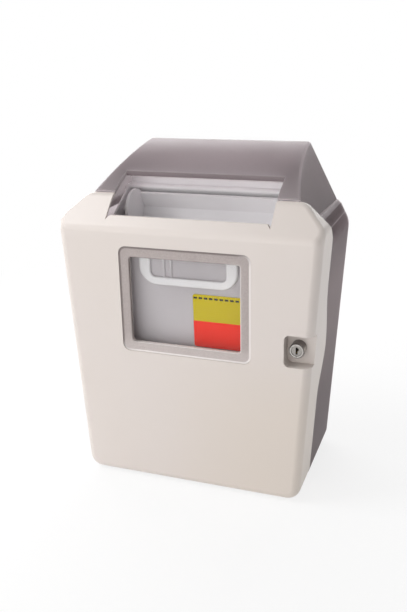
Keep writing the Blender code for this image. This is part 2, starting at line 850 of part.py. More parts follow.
def roof_line(drop, front):
    """Side view of the hood's crowned roof, from its front edge back to the wall."""
    near = Vector((SLOPE_TOP + ROOF_FRONT_RISE, DOOR_TOP + ROOF_FRONT_RISE))
    ridge = Vector((0.0, RIDGE_HEIGHT))
    chord = ridge - near
    radius = chord.length ** 2 / (8 * ROOF_CROWN) + ROOF_CROWN / 2
    inward = Vector((chord.y, -chord.x)).normalized()
    centre = (near + ridge) / 2 + inward * (radius - ROOF_CROWN)
    start = math.asin((front - centre.x) / radius)
    end = math.asin((OVER - centre.x) / radius)
    points = []
    for step in range(ROOF_STEPS + 1):
        angle = start + (end - start) * step / ROOF_STEPS
        points.append((centre.x + radius * math.sin(angle), centre.y + radius * math.cos(angle) - drop))
    return points


def hood_block(distance, rear):
    """The hood's outer form, or another one moved in from it, with sides that close in to the front."""
    low = RIM_HEIGHT - LAP - (OVER if distance else 0.0)
    side = across(LAP_INSET)
    above = RIDGE_HEIGHT + OVER
    right_side = [(roof_x(low) - side, low, 0.0), (roof_x(above) - side, above, 0.0)]
    outline = inset(mirrored(right_side), distance)
    block = extrude("hood", outline, FRONT, rear, "front")
    for vert in block.data.vertices:
        vert.co.x += math.copysign(HOOD_DRAFT, vert.co.x) * vert.co.y
    line = roof_line(distance, FRONT + OVER)
    profile = plain(line + [(OVER, low - 2 * OVER), (line[0][0], low - 2 * OVER)])
    keep_common(block, extrude("roof", list(reversed(profile)), -WIDE, WIDE, "side"))
    return block


def is_roof_edge(middle, edge):
    return abs(edge_run(edge).y) > ALONG and middle.z > RIM_HEIGHT


def make_hood(finish):
    """Smoked cover over the top: a crowned roof and sloped sides, notched for the inlet."""
    hood = hood_block(0.0, 0.0)
    round_edges(hood, HOOD_FILLET, is_roof_edge)
    cavity = hood_block(HOOD_WALL, OVER)
    half = INLET_WIDTH / 2
    inlet_back = FRONT + INLET_RUN
    lip_line = roof_line(HOOD_WALL - FIT, FRONT + OVER)
    low_line = roof_line(HOOD_WALL + HOOD_LIP, FRONT + OVER)
    lip_section = plain(lip_line + low_line[::-1])[::-1]
    lip = extrude("lip", lip_section, -half - HOOD_WALL, half + HOOD_WALL, "side")
    limit = inlet_back + HOOD_WALL
    cut(lip, box("lip_back", (-WIDE, limit, 0.0), (WIDE, 2 * OVER, RIDGE_HEIGHT + OVER)))
    cut(cavity, lip)
    cut(hood, cavity)
    inlet_low = (-half, FRONT - OVER, SHOULDER_HEIGHT - OVER)
    cut(hood, box("inlet", inlet_low, (half, inlet_back, RIDGE_HEIGHT + OVER)))
    cut_ahead(hood, PARTING_GAP / 2)
    cut(hood, box("back_lap", (-WIDE, -BACK_WALL - FIT, 0.0), (WIDE, OVER, RIM_HEIGHT + FIT)))
    return finish_mesh(hood, "hood", finish)


def edge_run(edge):
    return (edge.verts[1].co - edge.verts[0].co).normalized()


def make_hinge_pin(name, middle, finish):
    bottom = middle - DOOR_KNUCKLE / 2 - KNUCKLE_GAP - SHELL_KNUCKLE - PIN_HEAD / 2
    top = middle + DOOR_KNUCKLE / 2 + KNUCKLE_GAP + SHELL_KNUCKLE + FIT
    profile = [
        (0.0, top + PIN_HEAD),
        (PIN_HEAD_FLAT, top + PIN_HEAD),
        (PIN_HEAD_RADIUS, top + PIN_HEAD - PIN_HEAD_EDGE),
        (PIN_HEAD_RADIUS, top),
        (PIN_RADIUS, top),
        (PIN_RADIUS, bottom),
        (0.0, bottom),
    ]
    pin = turned(name, profile, (HINGE_X, PARTING, 0.0), "plan", SMALL_SIDES)
    return finish_mesh(pin, name, finish)


def lock_centre():
    return (lock_x(), 0.0, LOCK_HEIGHT)


def make_lock_barrel(finish):
    """Plated housing: a proud round head in the pocket and a body through its floor."""
    head = -(FRONT + LOCK_SETBACK)
    floor = -(POCKET_FLOOR - FIT)
    end = -BODY_END
    bore = PLUG_RADIUS + FIT
    profile = [
        (bore, head),
        (BARREL_RADIUS - BARREL_CHAMFER, head),
        (BARREL_RADIUS, head - BARREL_CHAMFER),
        (BARREL_RADIUS, floor),
        (BODY_RADIUS, floor),
        (BODY_RADIUS, end),
        (bore, end),
    ]
    barrel = turned("barrel", profile, lock_centre(), "front", closed=True)
    return finish_mesh(barrel, "lock_barrel", finish)


def wafer_place(index):
    return FRONT + LOCK_SETBACK + WAFER_SETBACK + WAFER_PITCH * index


def make_lock_plug(finish):
    """Turning core: a keyway along it, slots for the wafers and a square tail for the cam."""
    x, _, z = lock_centre()
    front = FRONT + LOCK_SETBACK + PLUG_SETBACK
    plug = cylinder("plug", PLUG_RADIUS, (x, front, z), (x, BODY_END, z))
    half_tail = TAIL_WIDTH / 2
    tail_end = CAM_BACK - FIT
    tail_low = (x - half_tail, BODY_END - FIT, z - half_tail)
    join(plug, box("tail", tail_low, (x + half_tail, tail_end, z + half_tail)))
    keyway_end = front + KEYWAY_DEPTH
    half_key = KEYWAY_WIDTH / 2
    half_high = KEYWAY_HEIGHT / 2
    keyway_low = (x - half_key, front - OVER, z - half_high)
    cut(plug, box("keyway", keyway_low, (x + half_key, keyway_end, z + half_high)))
    step_low = (x, front - OVER, z)
    step_high = (x + half_key + KEYWAY_STEP, keyway_end, z + half_high - KEYWAY_STEP)
    cut(plug, box("keyway_step", step_low, step_high))
    half_wide = WAFER_WIDTH / 2 + FIT
    half_thick = WAFER_THICKNESS / 2 + FIT
    for index in range(WAFER_COUNT):
        y = wafer_place(index)
        low = (x - half_wide, y - half_thick, z - 2 * PLUG_RADIUS)
        high = (x + half_wide, y + half_thick, z + 2 * PLUG_RADIUS)
        cut(plug, box("wafer_slot", low, high))
    shank = CAM_SCREW_SHANK + FIT
    depth = tail_end - CAM_SCREW_LENGTH
    cut(plug, cylinder("thread", shank, (x, depth, z), (x, tail_end + OVER, z), SMALL_SIDES))
    return finish_mesh(plug, "lock_plug", finish)


def make_lock_wafer(index, finish):
    """Thin plate with a window for the key."""
    x, _, z = lock_centre()
    y = wafer_place(index)
    half = WAFER_THICKNESS / 2
    outer = rectangle(x - WAFER_WIDTH / 2, z - WAFER_HEIGHT / 2, x + WAFER_WIDTH / 2, z + WAFER_HEIGHT / 2)
    wafer = extrude("wafer", outer, y - half, y + half, "front")
    window = inset(outer, WAFER_RAIL)
    cut(wafer, extrude("window", window, y - OVER, y + OVER, "front"))
    return finish_mesh(wafer, f"lock_wafer_{index + 1}", finish)


def make_lock_washer(finish):
    seat = -(POCKET_FLOOR + WALL + FIT)
    bore = BODY_RADIUS + FIT
    back = seat - WASHER_THICKNESS
    profile = [(bore, seat), (WASHER_RADIUS, seat), (WASHER_RADIUS, back), (bore, back)]
    washer = turned("washer", profile, lock_centre(), "front", closed=True)
    return finish_mesh(washer, "lock_washer", finish)


def make_lock_nut(finish):
    x, _, z = lock_centre()
    seat = POCKET_FLOOR + WALL + WASHER_THICKNESS + 2 * FIT
    end = seat + NUT_THICKNESS
    corner = NUT_WIDTH / math.sqrt(3)
    nut = cylinder("nut", corner, (x, seat, z), (x, end, z), NUT_SIDES)
    cut(nut, cylinder("bore", BODY_RADIUS + FIT, (x, seat - OVER, z), (x, end + OVER, z)))
    return finish_mesh(nut, "lock_nut", finish)


def make_lock_cam(finish):
    """Steel tongue on the plug's square tail, hanging down when the door is unlocked."""
    x, _, z = lock_centre()
    half = CAM_WIDTH / 2
    corners = [
        (x - half, z - CAM_REACH, CAM_TIP_RADIUS),
        (x + half, z - CAM_REACH, CAM_TIP_RADIUS),
        (x + half, z + half, CAM_HEEL_RADIUS),
        (x - half, z + half, CAM_HEEL_RADIUS),
    ]
    cam = extrude("cam", corners, CAM_FRONT, CAM_BACK, "front")
    hole = TAIL_WIDTH / 2 + FIT
    cut(cam, box("square", (x - hole, CAM_FRONT - OVER, z - hole), (x + hole, CAM_BACK + OVER, z + hole)))
    return finish_mesh(cam, "lock_cam", finish)


def make_cam_screw(finish):
    seat = -(CAM_BACK + FIT)
    head = seat - CAM_SCREW_HEAD
    tip = -(CAM_BACK - CAM_SCREW_LENGTH + FIT)
    profile = [
        (0.0, tip),
        (CAM_SCREW_SHANK, tip),
        (CAM_SCREW_SHANK, seat),
        (CAM_SCREW_RADIUS, seat),
        (CAM_SCREW_RADIUS, head + CAM_SCREW_EDGE),
        (CAM_SCREW_FLAT, head),
        (0.0, head),
    ]
    screw = turned("screw", profile, lock_centre(), "front", SMALL_SIDES)
    x, _, z = lock_centre()
    half = CAM_SCREW_SLOT / 2
    slot_low = (x - OVER, -head - CAM_SCREW_EDGE, z - half)
    cut(screw, box("slot", slot_low, (x + OVER, -head + OVER, z + half)))
    return finish_mesh(screw, "cam_screw", finish)


def tub_block(distance, low, high):
    """The collector's drafted tub between two heights, moved in by a wall."""
    half_top = TUB_WIDTH / 2 - distance
    front_top = TUB_FRONT + distance
    back_top = TUB_BACK - distance
    mesh = bpy.data.meshes.new("tub")
    work = bmesh.new()
    bmesh.ops.create_cube(work, size=2.0)
    for vert in work.verts:
        height = high if vert.co.z > 0 else low
        draft = TUB_DRAFT * (TUB_TOP - height)
        x = half_top - draft
        y = back_top - draft if vert.co.y > 0 else front_top + draft
        vert.co = (math.copysign(x, vert.co.x), y, height)
    work.to_mesh(mesh)
    work.free()
    block = link(bpy.data.objects.new("tub", mesh))
    round_edges(block, TUB_CORNER - distance, lambda middle, edge: abs(edge_run(edge).z) > ALONG)
    return round_edges(block, TUB_FOOT_RADIUS - distance, lambda middle, edge: middle.z < low + WALL)


def tub_front_at(height):
    """Place of the tub's front face at a height."""
    return TUB_FRONT + TUB_DRAFT * (TUB_TOP - height)


def on_tub_front(x, height):
    return Vector((x, tub_front_at(height), height))


def lean_on_tub(place):
    """Sets a flat piece drawn upright about the origin on the tub's leaning front."""
    return Matrix.Translation(place) @ Matrix.Rotation(math.atan(TUB_DRAFT), 4, "X")


def make_grip():
    """A raised band in a U under the lid, for the fingers that carry the collector."""
    wide = GRIP_WIDTH / 2
    near = wide - GRIP_SIDE
    top = -LID_SKIRT - RUN
    low = GRIP_BASE - GRIP_DROP
    corners = [
        (-wide, -GRIP_DROP, GRIP_RADIUS),
        (wide, -GRIP_DROP, GRIP_RADIUS),
        (wide, top, 0.0),
        (near, top, 0.0),
        (near, low, GRIP_INNER_RADIUS),
        (-near, low, GRIP_INNER_RADIUS),
        (-near, top, 0.0),
        (-wide, top, 0.0),
    ]
    grip = extrude("grip", corners, -GRIP_PROUD, TUB_WALL / 2, "front")
    round_edges(grip, GRIP_EDGE, lambda middle, edge: middle.y < WELD - GRIP_PROUD)
    grip.data.transform(lean_on_tub(on_tub_front(0.0, TUB_TOP)))
    return grip


def make_collector_tub(finish):
    tub = tub_block(0.0, TUB_BOTTOM, TUB_TOP)
    half = TUB_WIDTH / 2 + RIM_OUT
    corner = TUB_CORNER + RIM_OUT
    rim = rectangle(-half, TUB_FRONT - RIM_OUT, half, TUB_BACK + RIM_OUT, corner)
    join(tub, extrude("rim", rim, TUB_TOP - RIM_THICKNESS, TUB_TOP, "plan"))
    join(tub, make_grip())
    for x in RIB_PLACES:
        top = TUB_TOP - LID_SKIRT - 2 * RUN
        low = TUB_TOP - GRIP_DROP + GRIP_BASE / 2
        join(tub, bead("rib", [on_tub_front(x, top), on_tub_front(x, low)], RIB_BEAD))
    cut(tub, tub_block(TUB_WALL, TUB_BOTTOM + TUB_WALL, TUB_TOP + OVER))
    return finish_mesh(tub, "collector_tub", finish)


def make_collector_label(finish):
    bottom = on_tub_front(LABEL_LEFT, LABEL_BOTTOM)
    outline = rectangle(0.0, 0.0, LABEL_WIDTH, LABEL_HEIGHT, LABEL_CORNER)
    sheet = extrude("label", outline, -LABEL_THICKNESS, 0.0, "front")
    sheet.data.transform(lean_on_tub(bottom - Vector((0, FIT, 0))))
    return finish_mesh(sheet, "collector_label", finish)


def make_collector_lid(finish):
    """Lid with a skirt over the tub's rim and a chute that holds the drop tray."""
    half = TUB_WIDTH / 2 + RIM_OUT + FIT
    front = TUB_FRONT - RIM_OUT - FIT
    back = TUB_BACK + RIM_OUT + FIT
    corner = TUB_CORNER + RIM_OUT + FIT
    inner = rectangle(-half, front, half, back, corner)
    outer = inset(inner, -LID_SKIRT_WALL)
    lid = extrude("lid", outer, LID_BOTTOM - LID_SKIRT, LID_TOP, "plan")
    cut(lid, extrude("skirt", inner, LID_BOTTOM - LID_SKIRT - OVER, LID_BOTTOM, "plan"))
    outside = CHUTE_HALF + CHUTE_WALL
    low = LID_BOTTOM + FIT
    low_lip = LID_TOP + HOUSING_LOW_LIP
    high_lip = LID_TOP + HOUSING_HIGH_LIP
    rear = CHUTE_BACK + HOUSING_WALL + HOUSING_STEP
    side = [
        (CHUTE_FRONT - CHUTE_WALL, low, 0.0),
        (rear, low, 0.0),
        (rear, high_lip, HOUSING_LIP / 2),
        (CHUTE_BACK + HOUSING_WALL, high_lip, HOUSING_LIP / 2),
        (CHUTE_BACK - HOUSING_OVERHANG, low_lip, HOUSING_LIP / 2),
        (CHUTE_FRONT - CHUTE_WALL, LID_TOP + CHUTE_FRONT_RISE, HOUSING_LIP / 2),
    ]
    join(lid, extrude("chute", side, -outside, outside, "side"))
    step_y = CHUTE_BACK + HOUSING_WALL
    step = rectangle(CHUTE_FRONT - 2 * OVER, low_lip, step_y, high_lip + OVER)
    cut(lid, extrude("step", step, -WIDE, WIDE, "side"))
    well = [
        (CHUTE_FRONT, LID_BOTTOM - OVER, 0.0),
        (CHUTE_BACK, LID_BOTTOM - OVER, 0.0),
        (CHUTE_BACK, low_lip - 2 * HOUSING_LIP, HOUSING_LIP),
        (CHUTE_BACK - HOUSING_OVERHANG, low_lip - HOUSING_LIP, 0.0),
        (CHUTE_BACK - HOUSING_OVERHANG, low_lip + OVER, 0.0),
        (CHUTE_FRONT, low_lip + OVER, 0.0),
    ]
    cut(lid, extrude("well", well, -CHUTE_HALF, CHUTE_HALF, "side"))
    hollow = [
        (step_y, LID_BOTTOM - OVER, 0.0),
        (rear - CHUTE_WALL, LID_BOTTOM - OVER, 0.0),
        (rear - CHUTE_WALL, high_lip - CHUTE_WALL, 0.0),
        (step_y + CHUTE_WALL, high_lip - CHUTE_WALL, 0.0),
        (step_y + CHUTE_WALL, low_lip - CHUTE_WALL, 0.0),
        (step_y, low_lip - CHUTE_WALL, 0.0),
    ]
    cut(lid, extrude("hollow", hollow, -CHUTE_HALF, CHUTE_HALF, "side"))
    reach = outside + ROLL_RADIUS - RUN
    middle = low_lip - HOUSING_LIP / 2
    roll = [
        (-reach, middle - ROLL_DROP, 0.0),
        (-reach, middle, ROLL_CORNER),
        (reach, middle, ROLL_CORNER),
        (reach, middle - ROLL_DROP, 0.0),
    ]
    roll_y = CHUTE_BACK - HOUSING_OVERHANG + ROLL_SINK
    join(lid, bead("roll", [(u, roll_y, v) for u, v in rounded(roll)], ROLL_RADIUS))
    seat = TRUNNION_RADIUS + FIT
    cut(lid, cylinder("seat", seat, (-WIDE, TRAY_Y, TRAY_Z), (WIDE, TRAY_Y, TRAY_Z), SMALL_SIDES))
    return finish_mesh(lid, "collector_lid", finish)


def tray_section():
    """Trough seen from the side, about the tray's axis: a flat back, a crease and a curved floor."""
    reach = TRAY_RADIUS - TRAY_SHEET
    back = TRAY_BACK_ANGLE
    outer = [(TRAY_RADIUS * math.cos(back), TRAY_RADIUS * math.sin(back))]
    inner = [(reach * math.cos(back) - TRAY_SHEET, reach * math.sin(back))]
    for step in range(TRAY_STEPS + 1):
        angle = TRAY_CREASE_ANGLE + (TRAY_FRONT_ANGLE - TRAY_CREASE_ANGLE) * step / TRAY_STEPS
        outer.append((TRAY_RADIUS * math.cos(angle), TRAY_RADIUS * math.sin(angle)))
        inner.append((reach * math.cos(angle), reach * math.sin(angle)))
    return outer[::-1] + inner


def make_drop_tray(finish):
    """Tipping trough between two end discs, on trunnions that sit in the chute's sides."""
    inside = TRAY_END - TRAY_END_WALL
    section = plain([(TRAY_Y + u, TRAY_Z + v) for u, v in tray_section()])
    tray = extrude("trough", section, -inside - TRAY_END_WALL / 2, inside + TRAY_END_WALL / 2, "side")
    for way in (-1, 1):
        near = (way * inside, TRAY_Y, TRAY_Z)
        far = (way * TRAY_END, TRAY_Y, TRAY_Z)
        tip = (way * (CHUTE_HALF + CHUTE_WALL), TRAY_Y, TRAY_Z)
        join(tray, cylinder("disc", TRAY_RADIUS, near, far))
        root = (way * (TRAY_END - TRAY_RING / 2), TRAY_Y, TRAY_Z)
        proud = (way * (TRAY_END + TRAY_RING), TRAY_Y, TRAY_Z)
        ring = cylinder("ring", TRAY_RADIUS, root, proud)
        cut(ring, cylinder("eye", TRAY_RADIUS - TRAY_RING_WIDTH, near, tip))
        join(tray, ring)
        join(tray, cylinder("trunnion", TRUNNION_RADIUS, near, tip, SMALL_SIDES))
    return finish_mesh(tray, "drop_tray", finish)


def make_finishes():
    return {
        "beige": material("beige_moulding", (0.74, 0.67, 0.62), 0.42),
        "smoke": material("smoke_moulding", (0.30, 0.26, 0.27), 0.35, transmission=0.4),
        "clear": material("clear_window", (0.92, 0.92, 0.92), 0.12, transmission=0.9),
        "natural": material("natural_moulding", (0.80, 0.81, 0.82), 0.45, transmission=0.3),
        "chrome": material("plated_lock", (0.78, 0.77, 0.75), 0.16, metallic=1.0),
        "steel": material("plain_steel", (0.56, 0.56, 0.57), 0.35, metallic=1.0),
        "brass": material("brass_wafer", (0.72, 0.55, 0.28), 0.35, metallic=1.0),
        "label": material("label_film", (0.62, 0.36, 0.05), 0.5),
    }


def build():
    clear_scene()
    new_collection()
    finishes = make_finishes()
    cabinet = pivot("cabinet_frame", (0.0, 0.0, 0.0))
    door_axis = pivot("door_axis", (HINGE_X, PARTING, 0.0), cabinet)
    lock_axis = pivot("lock_axis", (lock_x(), POCKET_FLOOR, LOCK_HEIGHT), door_axis)
    tray_axis = pivot("tray_axis", (0.0, TRAY_Y, TRAY_Z), cabinet)
    fixed = [
        make_back_shell(finishes["smoke"]),
        make_hood(finishes["smoke"]),
        make_collector_tub(finishes["natural"]),
        make_collector_lid(finishes["natural"]),
        make_collector_label(finishes["label"]),
    ]
    fixed += [make_hinge_pin(name, at, finishes["steel"]) for name, at in zip(HINGE_NAMES, HINGE_HEIGHTS)]
    swinging = [
        make_door(finishes["beige"]),
        make_window_pane(finishes["clear"]),
        make_lock_barrel(finishes["chrome"]),
        make_lock_washer(finishes["steel"]),
        make_lock_nut(finishes["steel"]),
    ]
    turning = [
        make_lock_plug(finishes["chrome"]),
        make_lock_cam(finishes["steel"]),
        make_cam_screw(finishes["steel"]),
    ]
    turning += [make_lock_wafer(index, finishes["brass"]) for index in range(WAFER_COUNT)]
    tipping = [make_drop_tray(finishes["natural"])]
    groups = ((cabinet, fixed), (door_axis, swinging), (lock_axis, turning), (tray_axis, tipping))
    for axis, pieces in groups:
        for piece in pieces:
            carry(piece, axis)
    cabinet.location.y = BASE_CENTRE


build()
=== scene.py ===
import json
import math

import bmesh
import bpy
from mathutils import Matrix, Vector


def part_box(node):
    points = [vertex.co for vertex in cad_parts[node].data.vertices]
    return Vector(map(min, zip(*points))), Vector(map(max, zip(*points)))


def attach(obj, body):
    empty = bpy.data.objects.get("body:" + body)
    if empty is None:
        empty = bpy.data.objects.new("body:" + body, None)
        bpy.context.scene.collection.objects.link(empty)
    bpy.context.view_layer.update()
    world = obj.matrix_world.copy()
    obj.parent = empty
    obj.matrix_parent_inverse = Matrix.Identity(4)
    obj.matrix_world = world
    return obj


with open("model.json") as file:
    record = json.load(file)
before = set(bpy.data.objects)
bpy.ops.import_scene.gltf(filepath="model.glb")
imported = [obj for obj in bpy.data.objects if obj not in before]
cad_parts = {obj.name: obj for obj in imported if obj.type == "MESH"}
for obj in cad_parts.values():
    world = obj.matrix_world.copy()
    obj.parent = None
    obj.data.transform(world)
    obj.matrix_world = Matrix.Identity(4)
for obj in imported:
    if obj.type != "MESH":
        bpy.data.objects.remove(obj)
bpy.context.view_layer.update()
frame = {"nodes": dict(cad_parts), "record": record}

# Looks of the wall cabinet for a sharps collector: finishes, camera, floor and light around the frame

# Camera, solved from the photograph's straight edges
CAMERA_PLACE = (0.2988, -0.8564, 0.5068)
CAMERA_AZIMUTH = math.radians(20.26)
CAMERA_ELEVATION = math.radians(19.15)
CAMERA_ROLL = math.radians(-1.21)
CAMERA_LENS = 45.03
SENSOR = 36.0

# Edge rounding and shading of the moulded and machined pieces
WELD = 1e-6
SLIVER = 0.00015
FLAT_WITHIN = math.radians(0.5)
SHARP_EDGE = math.radians(28)
MOULDED_EDGE = 0.0005
METAL_EDGE = 0.0002
EDGE_STEPS = 2
FLAT_WEIGHT = 50

# Rounding of the door's front edges and of the fold above its flat front
EDGE_ROUND = 0.010
TOP_ROUND = 0.004
FADE_FROM = 0.330
FOLD_ROUND = 0.014
FOLD_TURN = math.radians(45)
FOLD_HEIGHT = 0.3105
ROUND_STEPS = 8
CORNER_STEPS = 6
FOLD_STEPS = 5
CUT_CLEAR = 0.00002
CUT_REACH = 0.001
CUT_OUT = 0.004
DOOR_FRONT = -0.1099
DOOR_WIDE = 0.17

# Corners of the door's right-hand outline, upwards: place across, height, radius
DOOR_FOOT = (0.1338, 0.001, 0.016)
DOOR_SHOULDER = (0.1540, 0.3195, 0.012)
DOOR_TOP = (0.1275, 0.344, 0.018)
HORN_INSIDE = 0.104

# Colours, linear
BEIGE = (0.735, 0.668, 0.630)
BEIGE_WARM = (0.728, 0.652, 0.588)
SMOKE = (0.225, 0.205, 0.208)
# Deeper smoke of the hood's lip, and painted shade on the hood's ends
SMOKE_DEEP_AND_SHADE = (0.165, 0.128, 0.134)
# Painted highlight on the hood's ridge, foot and rounded edges, and on the shell's lap line and rim
SMOKE_HIGHLIGHT = (0.86, 0.80, 0.81)
SMOKE_PALE = (0.38, 0.345, 0.352)
SMOKE_THROUGH = (0.775, 0.734, 0.746)
SHELL = (0.140, 0.098, 0.106)
# Pale tone of the shell's clouds, also a painted reflection in the middle of its sides
SHELL_CLOUD_AND_REFLECTION = (0.32, 0.245, 0.255)
# Painted shade where the shell laps over the hood's wall
SHELL_LAP_SHADE = (0.15, 0.112, 0.118)
MILK = (0.82, 0.785, 0.80)
MILK_SHADE = (0.74, 0.705, 0.72)
# Lighter copy of the milky colours for the lid and tray: painted light
MILK_LIT = (0.95, 0.935, 0.945)
MILK_LIT_PALE = (0.90, 0.885, 0.895)
# Painted highlight on the rib around the collector's grip
MILK_RIB_HIGHLIGHT = (0.99, 0.98, 0.985)
MILK_THROUGH = (0.86, 0.84, 0.86)
FROST = (0.50, 0.435, 0.42)
FROST_PALE = (0.70, 0.63, 0.61)
# Painted shade and painted highlight for the window's edge lines
FROST_SHADE = (0.20, 0.165, 0.16)
FROST_HIGHLIGHT = (0.95, 0.90, 0.88)
YELLOW = (0.60, 0.48, 0.004)
RED = (0.95, 0.022, 0.004)
INK = (0.03, 0.028, 0.026)
CHROME = (0.56, 0.535, 0.51)
CHROME_DULL = (0.34, 0.32, 0.30)
# Painted dark reflection on the sides of the lock and its plug
CHROME_DARK_REFLECTION = (0.13, 0.118, 0.112)
PLUG_FACE = (0.34, 0.32, 0.305)
STEEL = (0.56, 0.56, 0.57)
BRASS = (0.38, 0.27, 0.11)
BRASS_DULL = (0.266, 0.189, 0.077)
FLOOR_WHITE = (0.92, 0.92, 0.92)

# Share of the light that a moulding passes on instead of sending it back, and what takes from it
HOOD_PASSES = 0.77
SHELL_PASSES = 0.35
MILK_PASSES = 0.40
LID_PASSES = 0.10
LIP_HOLDS = 0.45
END_HOLDS = 0.34
PALE_HOLDS = 0.1
BAND_HOLDS = 0.22
RIM_PASSES = 0.3

# Optics: refraction, and the strength of the mirror-like part
PLASTIC_IOR = 1.5
WINDOW_IOR = 1.49
HOOD_GLOSS = 0.25
SHELL_GLOSS = 0.05
WINDOW_GLOSS = 0.25
FILM_GLOSS = 0.12

# Fine grain of moulded skins: what it adds to the roughness, its depth and its strength
GRAIN_ROUGH = 0.12
GRAIN_DEPTH = 0.00008
GRAIN_STRENGTH = 0.3

# Noise scales of slow clouds and fine grains, and the detail of the clouds
CLOUD_DETAIL = 3.0
BEIGE_CLOUD = 7.0
SMOKE_CLOUD = 11.0
MILK_CLOUD = 14.0
BEIGE_GRAIN = 1500.0
SMOKE_GRAIN = 1300.0
MILK_GRAIN = 900.0
FILM_GRAIN = 1200.0
STIPPLE = 900.0
SCUFF = 60.0

# Part of the door, low on its right, that looks warmer: from and to, across and by height
WARM_ACROSS = (-0.06, 0.10)
WARM_HEIGHT = (0.20, 0.10)

# Parts of the hood, by height and by the way its surface faces: its ridge, foot and rounded edges take a
# painted highlight, its ends painted shade
RIDGE = (0.372, 0.392)
FOOT = (0.370, 0.345)
LIP_FACING = (-0.80, -0.95)
END_FACING = (0.75, 0.88)
EDGE_FACING = (0.2, 0.7, 0.1)

# Middle of the shell's sides painted paler, a painted reflection, darker towards the bottom and the top, and
# its rim, which passes more light, by height
REFLECTION_RISE = (0.06, 0.20)
REFLECTION_FALL = (0.31, 0.23)
RIM_RISE = (0.28, 0.30)

# Faces of the plated lock: the front and its shine on the right-hand side, which keep their colour while the
# other faces take a painted dark reflection, and the brush's shade
FRONT_FACING = (-0.97, -0.80)
GLINT_FACING = (0.86, 0.97)
BRUSH_SHADE = (0.35, 0.75)

# Depth beyond which the rib around the collector's grip stands proud of its wall and is painted paler: a
# painted highlight
GRIP_PROUD = -0.0948
PROUD_SOFT = 0.0009

# Lap of the hood inside the shell's rim, by height: painted shade on the lap, with painted highlight lines
# at its edges
LAP_LOW = 0.3098
LAP_HIGH = 0.3192
LAP_LINE = 0.0009

# Frosted flange around the window's clear part, with painted shade and painted highlight on the lines at its
# edges
FLANGE = 0.0117
FLANGE_SOFT = 0.0003
WINDOW_RADIUS = 0.009
STEP_RADIUS = 0.004
RIM_LINE = 0.0026
STEP_LINE = 0.0012
LINE_SHARE = 0.85
LIT_TURN = 0.25
FLANGE_ALPHA = 0.78
CLEAR_ALPHA = 0.025
LINE_ALPHA = 0.17
FLANGE_ROUGH = 0.45
CLEAR_ROUGH = 0.05

# Plain dashes along the label's upper edge
DASH_PITCH = 0.0062
DASH_SHARE = 0.68
DASH_HEIGHT = 0.0023
DASH_DROP = 0.0032
DASH_SOFT = 0.03
PRINT_SOFT = 0.0001

# Floor and background
FLOOR_HALF = 6.0
FLOOR_DROP = 0.0005
FLOOR_GLOW = 0.80
FLOOR_NEAR = 0.30
FLOOR_FAR = 0.95
AMBIENT = 0.22

# Lamps, turned to a point on the object: name, place, width, height, power in watts
LIT_POINT = (0.0, 0.0, 0.2)
LAMPS = (
    ("key", (-0.9, -1.5, 0.80), 1.2, 1.2, 6.6),
    ("front", (-0.05, -1.9, 0.45), 0.8, 0.8, 6.4),
    ("high_left", (-1.1, -0.5, 1.6), 0.8, 0.8, 17.5),
    ("right", (1.5, 0.60, 0.45), 0.6, 0.8, 3.8),
    ("back", (-0.8, 1.5, 0.92), 3.2, 0.8, 43.0),
)


class Wire:
    """A shader socket that takes part in sums."""

    def __init__(self, finish, socket):
        self.finish = finish
        self.socket = socket

    def __add__(self, other):
        return self.finish.maths("ADD", self, other)

    __radd__ = __add__

    def __sub__(self, other):
        return self.finish.maths("SUBTRACT", self, other)

    def __rsub__(self, other):
        return self.finish.maths("SUBTRACT", other, self)

    def __mul__(self, other):
        return self.finish.maths("MULTIPLY", self, other)

    __rmul__ = __mul__


